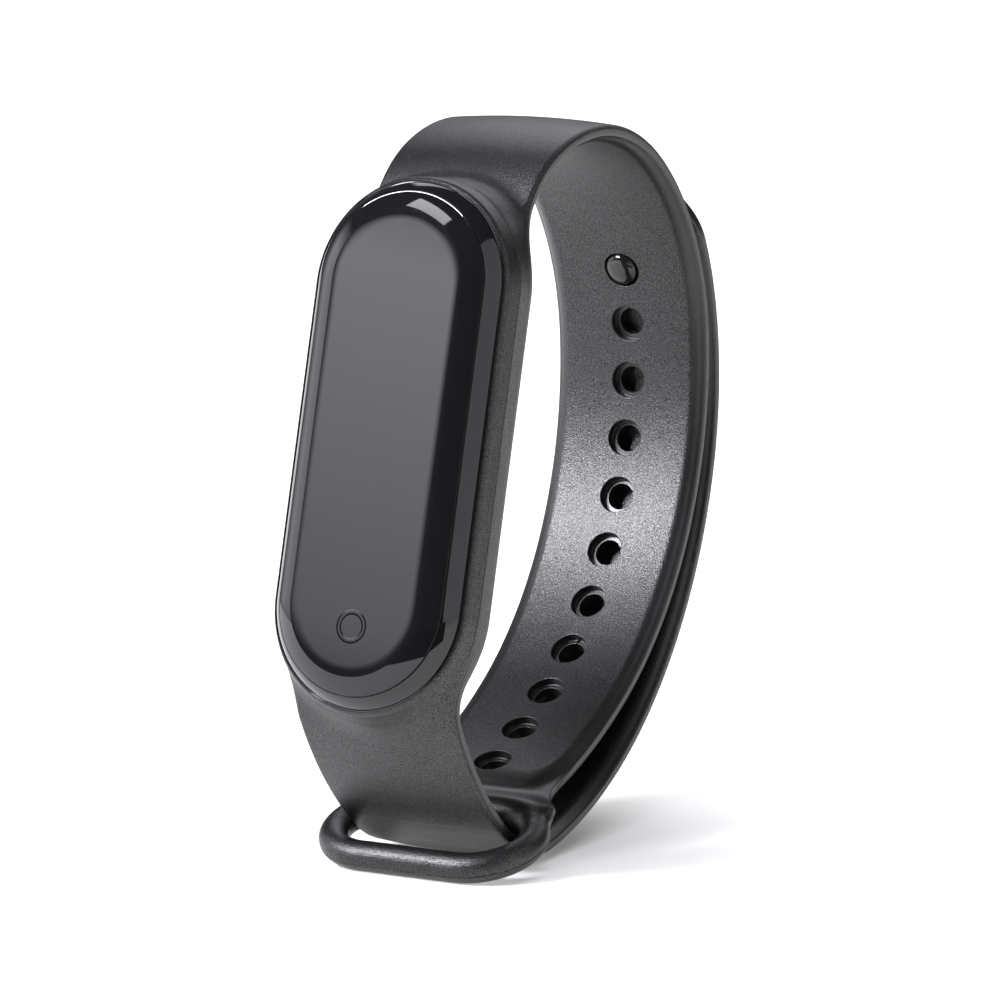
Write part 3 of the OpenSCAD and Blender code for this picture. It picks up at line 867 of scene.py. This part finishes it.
def dress_nodes():
    """Materials of the CAD nodes that stay shown."""
    steel = brushed("steel", (0.55, 0.55, 0.56), 0.3)
    board = circuit("board")
    chip = plain_plastic("chip", (0.02, 0.02, 0.021), 0.5)
    black = plain_plastic("black_seal", (0.02, 0.02, 0.02), 0.7)
    looks = {
        "lens_adhesive": plain_plastic("adhesive", (0.05, 0.05, 0.05), 0.8),
        "touch_film": plain_plastic("touch_film", (0.15, 0.16, 0.17), 0.2, grain=1500.0),
        "display_panel": gloss_black("display_glass", (0.02, 0.022, 0.03), 0.08),
        "display_flex": plain_plastic("flex", (0.3, 0.13, 0.03), 0.3, grain=1800.0),
        "inner_frame": steel, "shield_can": steel, "motor_can": steel, "motor_shaft": steel,
        "motor_weight": brushed("weight_steel", (0.3, 0.3, 0.31), 0.4),
        "main_board": board, "sensor_board": board, "charging_board": board,
        "processor_chip": chip, "memory_chip": chip, "motion_sensor_chip": chip,
        "antenna": plain_plastic("copper", (0.72, 0.35, 0.16), 0.3, metallic=1.0),
        "battery_cell": brushed("battery_foil", (0.62, 0.64, 0.67), 0.35),
        "battery_tabs": brushed("nickel", (0.66, 0.64, 0.6), 0.3),
        "green_leds": plain_plastic("led", (0.25, 0.6, 0.22), 0.2, grain=1200.0),
        "photodiode": gloss_black("photodiode", (0.03, 0.02, 0.06), 0.15),
        "light_baffle": black, "case_gasket": black,
        "sensor_window": gloss_black("sensor_window", (0.008, 0.008, 0.01), 0.05),
        "rear_case": plain_plastic(
            "rear_plastic", (0.02, 0.02, 0.021), 0.42, grain=5200.0, depth=0.00002
        ),
        "charging_contacts": plain_plastic(
            "gold", (0.75, 0.52, 0.2), 0.22, metallic=1.0, swing=0.12
        ),
    }
    for name, mat in looks.items():
        apply_to_node(name, mat)


# ---------------------------------------------------------------- floor, light and camera
MIDDLE = Vector((0.0, 0.0, 0.035))  # what lamps and cards are turned to, in metres
COOL = (0.985, 0.985, 1.045, 1.0)
FLOOR_HALF = 3.0
CAMERA_TARGET = Vector((8.73, -15.88, 34.0)) * MM
CAMERA_AZIMUTH, CAMERA_ELEVATION, CAMERA_DISTANCE = 29.82, 9.16, 0.5


def rectangle(name, w, h):
    """A flat rectangle, w and h being half its sides."""
    mesh = bpy.data.meshes.new(name)
    mesh.from_pydata([(-w, -h, 0), (w, -h, 0), (w, h, 0), (-w, h, 0)], [], [(0, 1, 2, 3)])
    return link(name, mesh)


def make_floor():
    """White floor with a painted glow: its emission rises away from the object and is weaker under
    it, which paints shade round the real shadow.
    """
    floor = rectangle("floor", FLOOR_HALF, FLOOR_HALF)
    mat, tree, shader = start_material("floor_white_painted_glow")
    at = object_coords(tree)
    tint = blend_colour(tree, noise(tree, at, 6.0), (0.5, 0.5, 0.5), (0.52, 0.52, 0.52))
    tree.links.new(tint, shader.inputs["Base Color"])
    # Painted light: the emission is least right under the object (painted shade) and grows with
    # distance, so the far floor glows white.
    away = add(tree, "VectorMath", {0: at}, operation="LENGTH").outputs["Value"]
    near = spread(tree, away, 0.006, 0.024, 0.2, 0.58)
    far = spread(tree, away, 0.05, 0.6, 0.0, 0.5)
    tree.links.new(math_node(tree, "ADD", near, far), shader.inputs["Emission Strength"])
    shader.inputs["Emission Color"].default_value = WHITE
    shader.inputs["Roughness"].default_value = 0.9
    shader.inputs["Specular IOR Level"].default_value = 0.0
    floor.data.materials.append(mat)


def toward(azimuth, elevation):
    """Unit vector out from the object: azimuth 0 is the front, positive to the right."""
    a, e = math.radians(azimuth), math.radians(elevation)
    return Vector((math.sin(a) * math.cos(e), -math.cos(a) * math.cos(e), math.sin(e)))


def aim(obj, azimuth, elevation, distance, target=MIDDLE):
    """Puts an object out from the target, with its back along that direction."""
    out = toward(azimuth, elevation)
    obj.location = target + out * distance
    obj.rotation_euler = out.to_track_quat("Z", "Y").to_euler()


def lamp(name, azimuth, elevation, distance, size, power, glossy=True):
    """A rectangular lamp; the distance and size are in metres, the power in watts."""
    data = bpy.data.lights.new(name, "AREA")
    data.shape = "RECTANGLE"
    data.size, data.size_y = size
    data.energy = power
    data.color = COOL[:3]
    obj = link(name, data)
    aim(obj, azimuth, elevation, distance)
    obj.visible_camera = False
    obj.visible_glossy = glossy


def card(name, azimuth, elevation, distance, size, low, high, soft=0.3):
    """A panel seen only in reflections, that shines from low at its foot to high at its top.

    It fades to nothing over its outer part; soft is how much of each half that is.
    """
    w, h = size[0] / 2, size[1] / 2
    obj = rectangle(name, w, h)
    aim(obj, azimuth, elevation, distance)
    mat, tree = empty_material(name)
    across, up = add(tree, "SeparateXYZ", {0: object_coords(tree)}).outputs[:2]
    edges = [
        spread(tree, math_node(tree, "ABSOLUTE", value), (1 - soft) * half, half, 1.0, 0.0)
        for value, half in ((across, w), (up, h))
    ]
    fade = math_node(tree, "MULTIPLY", *edges)
    shine = math_node(tree, "MULTIPLY", fade, spread(tree, up, -h, h, low, high))
    glow = add(tree, "Emission", {"Color": COOL, "Strength": shine})
    tree.links.new(glow.outputs[0], add(tree, "OutputMaterial").inputs[0])
    obj.data.materials.append(mat)
    obj.visible_camera = False
    obj.visible_diffuse = False
    obj.visible_shadow = False


def make_world():
    """White for the camera, nearly dark for the object, which the cards light."""
    world = bpy.data.worlds.new("studio")
    bpy.context.scene.world = world
    world.use_nodes = True
    tree = world.node_tree
    tree.nodes.clear()
    seen = add(tree, "LightPath").outputs["Is Camera Ray"]
    white = add(tree, "Background", {"Color": WHITE, "Strength": 1.0})
    dim = add(tree, "Background", {"Color": WHITE, "Strength": 0.03})
    mix = add(tree, "MixShader", {0: seen, 1: dim.outputs[0], 2: white.outputs[0]})
    tree.links.new(mix.outputs[0], add(tree, "OutputWorld").inputs[0])


def make_lights():
    """Lamps, and the cards that make the highlights; the flag is a dark card under the lens.

    Each has its azimuth and elevation in degrees, its distance and its size in metres.
    """
    lamp("key", -36, 34, 0.5, (0.2, 0.09), 5.3)
    lamp("fill", 0, 88, 0.8, (1.0, 1.0), 12.0, glossy=False)
    card("strip_top", -33, 64.5, 0.4, (0.214, 0.09), 7.5, 8.5, soft=0.08)
    card("card_left", -31.8, 16.5, 0.4, (0.108, 0.116), 1.0, 5.0, soft=0.5)
    card("card_side", -76, 9, 0.4, (0.46, 0.3), 1.3, 2.3, soft=0.5)
    card("card_right", 80, 18, 0.4, (0.4, 0.56), 1.4, 1.0, soft=0.05)
    card("flag", 25, -14, 0.09, (0.1, 0.028), 0.0, 0.0)
    card("rim", 190, 40, 0.5, (0.5, 0.26), 2.2, 2.2, soft=0.12)


def make_camera():
    """The photograph's camera, solved from the capsule's outline and the row of holes."""
    data = bpy.data.cameras.new("camera")
    data.sensor_width = 36.0
    data.lens = 208.7
    data.clip_start, data.clip_end = 0.02, 20.0
    obj = link("camera", data)
    aim(obj, CAMERA_AZIMUTH, CAMERA_ELEVATION, CAMERA_DISTANCE, CAMERA_TARGET)
    bpy.context.scene.camera = obj


make_camera()
make_world()
make_lights()
make_floor()
make_straps()
make_capsule()
make_snap()
dress_nodes()
bpy.context.scene.view_settings.view_transform = "Standard"
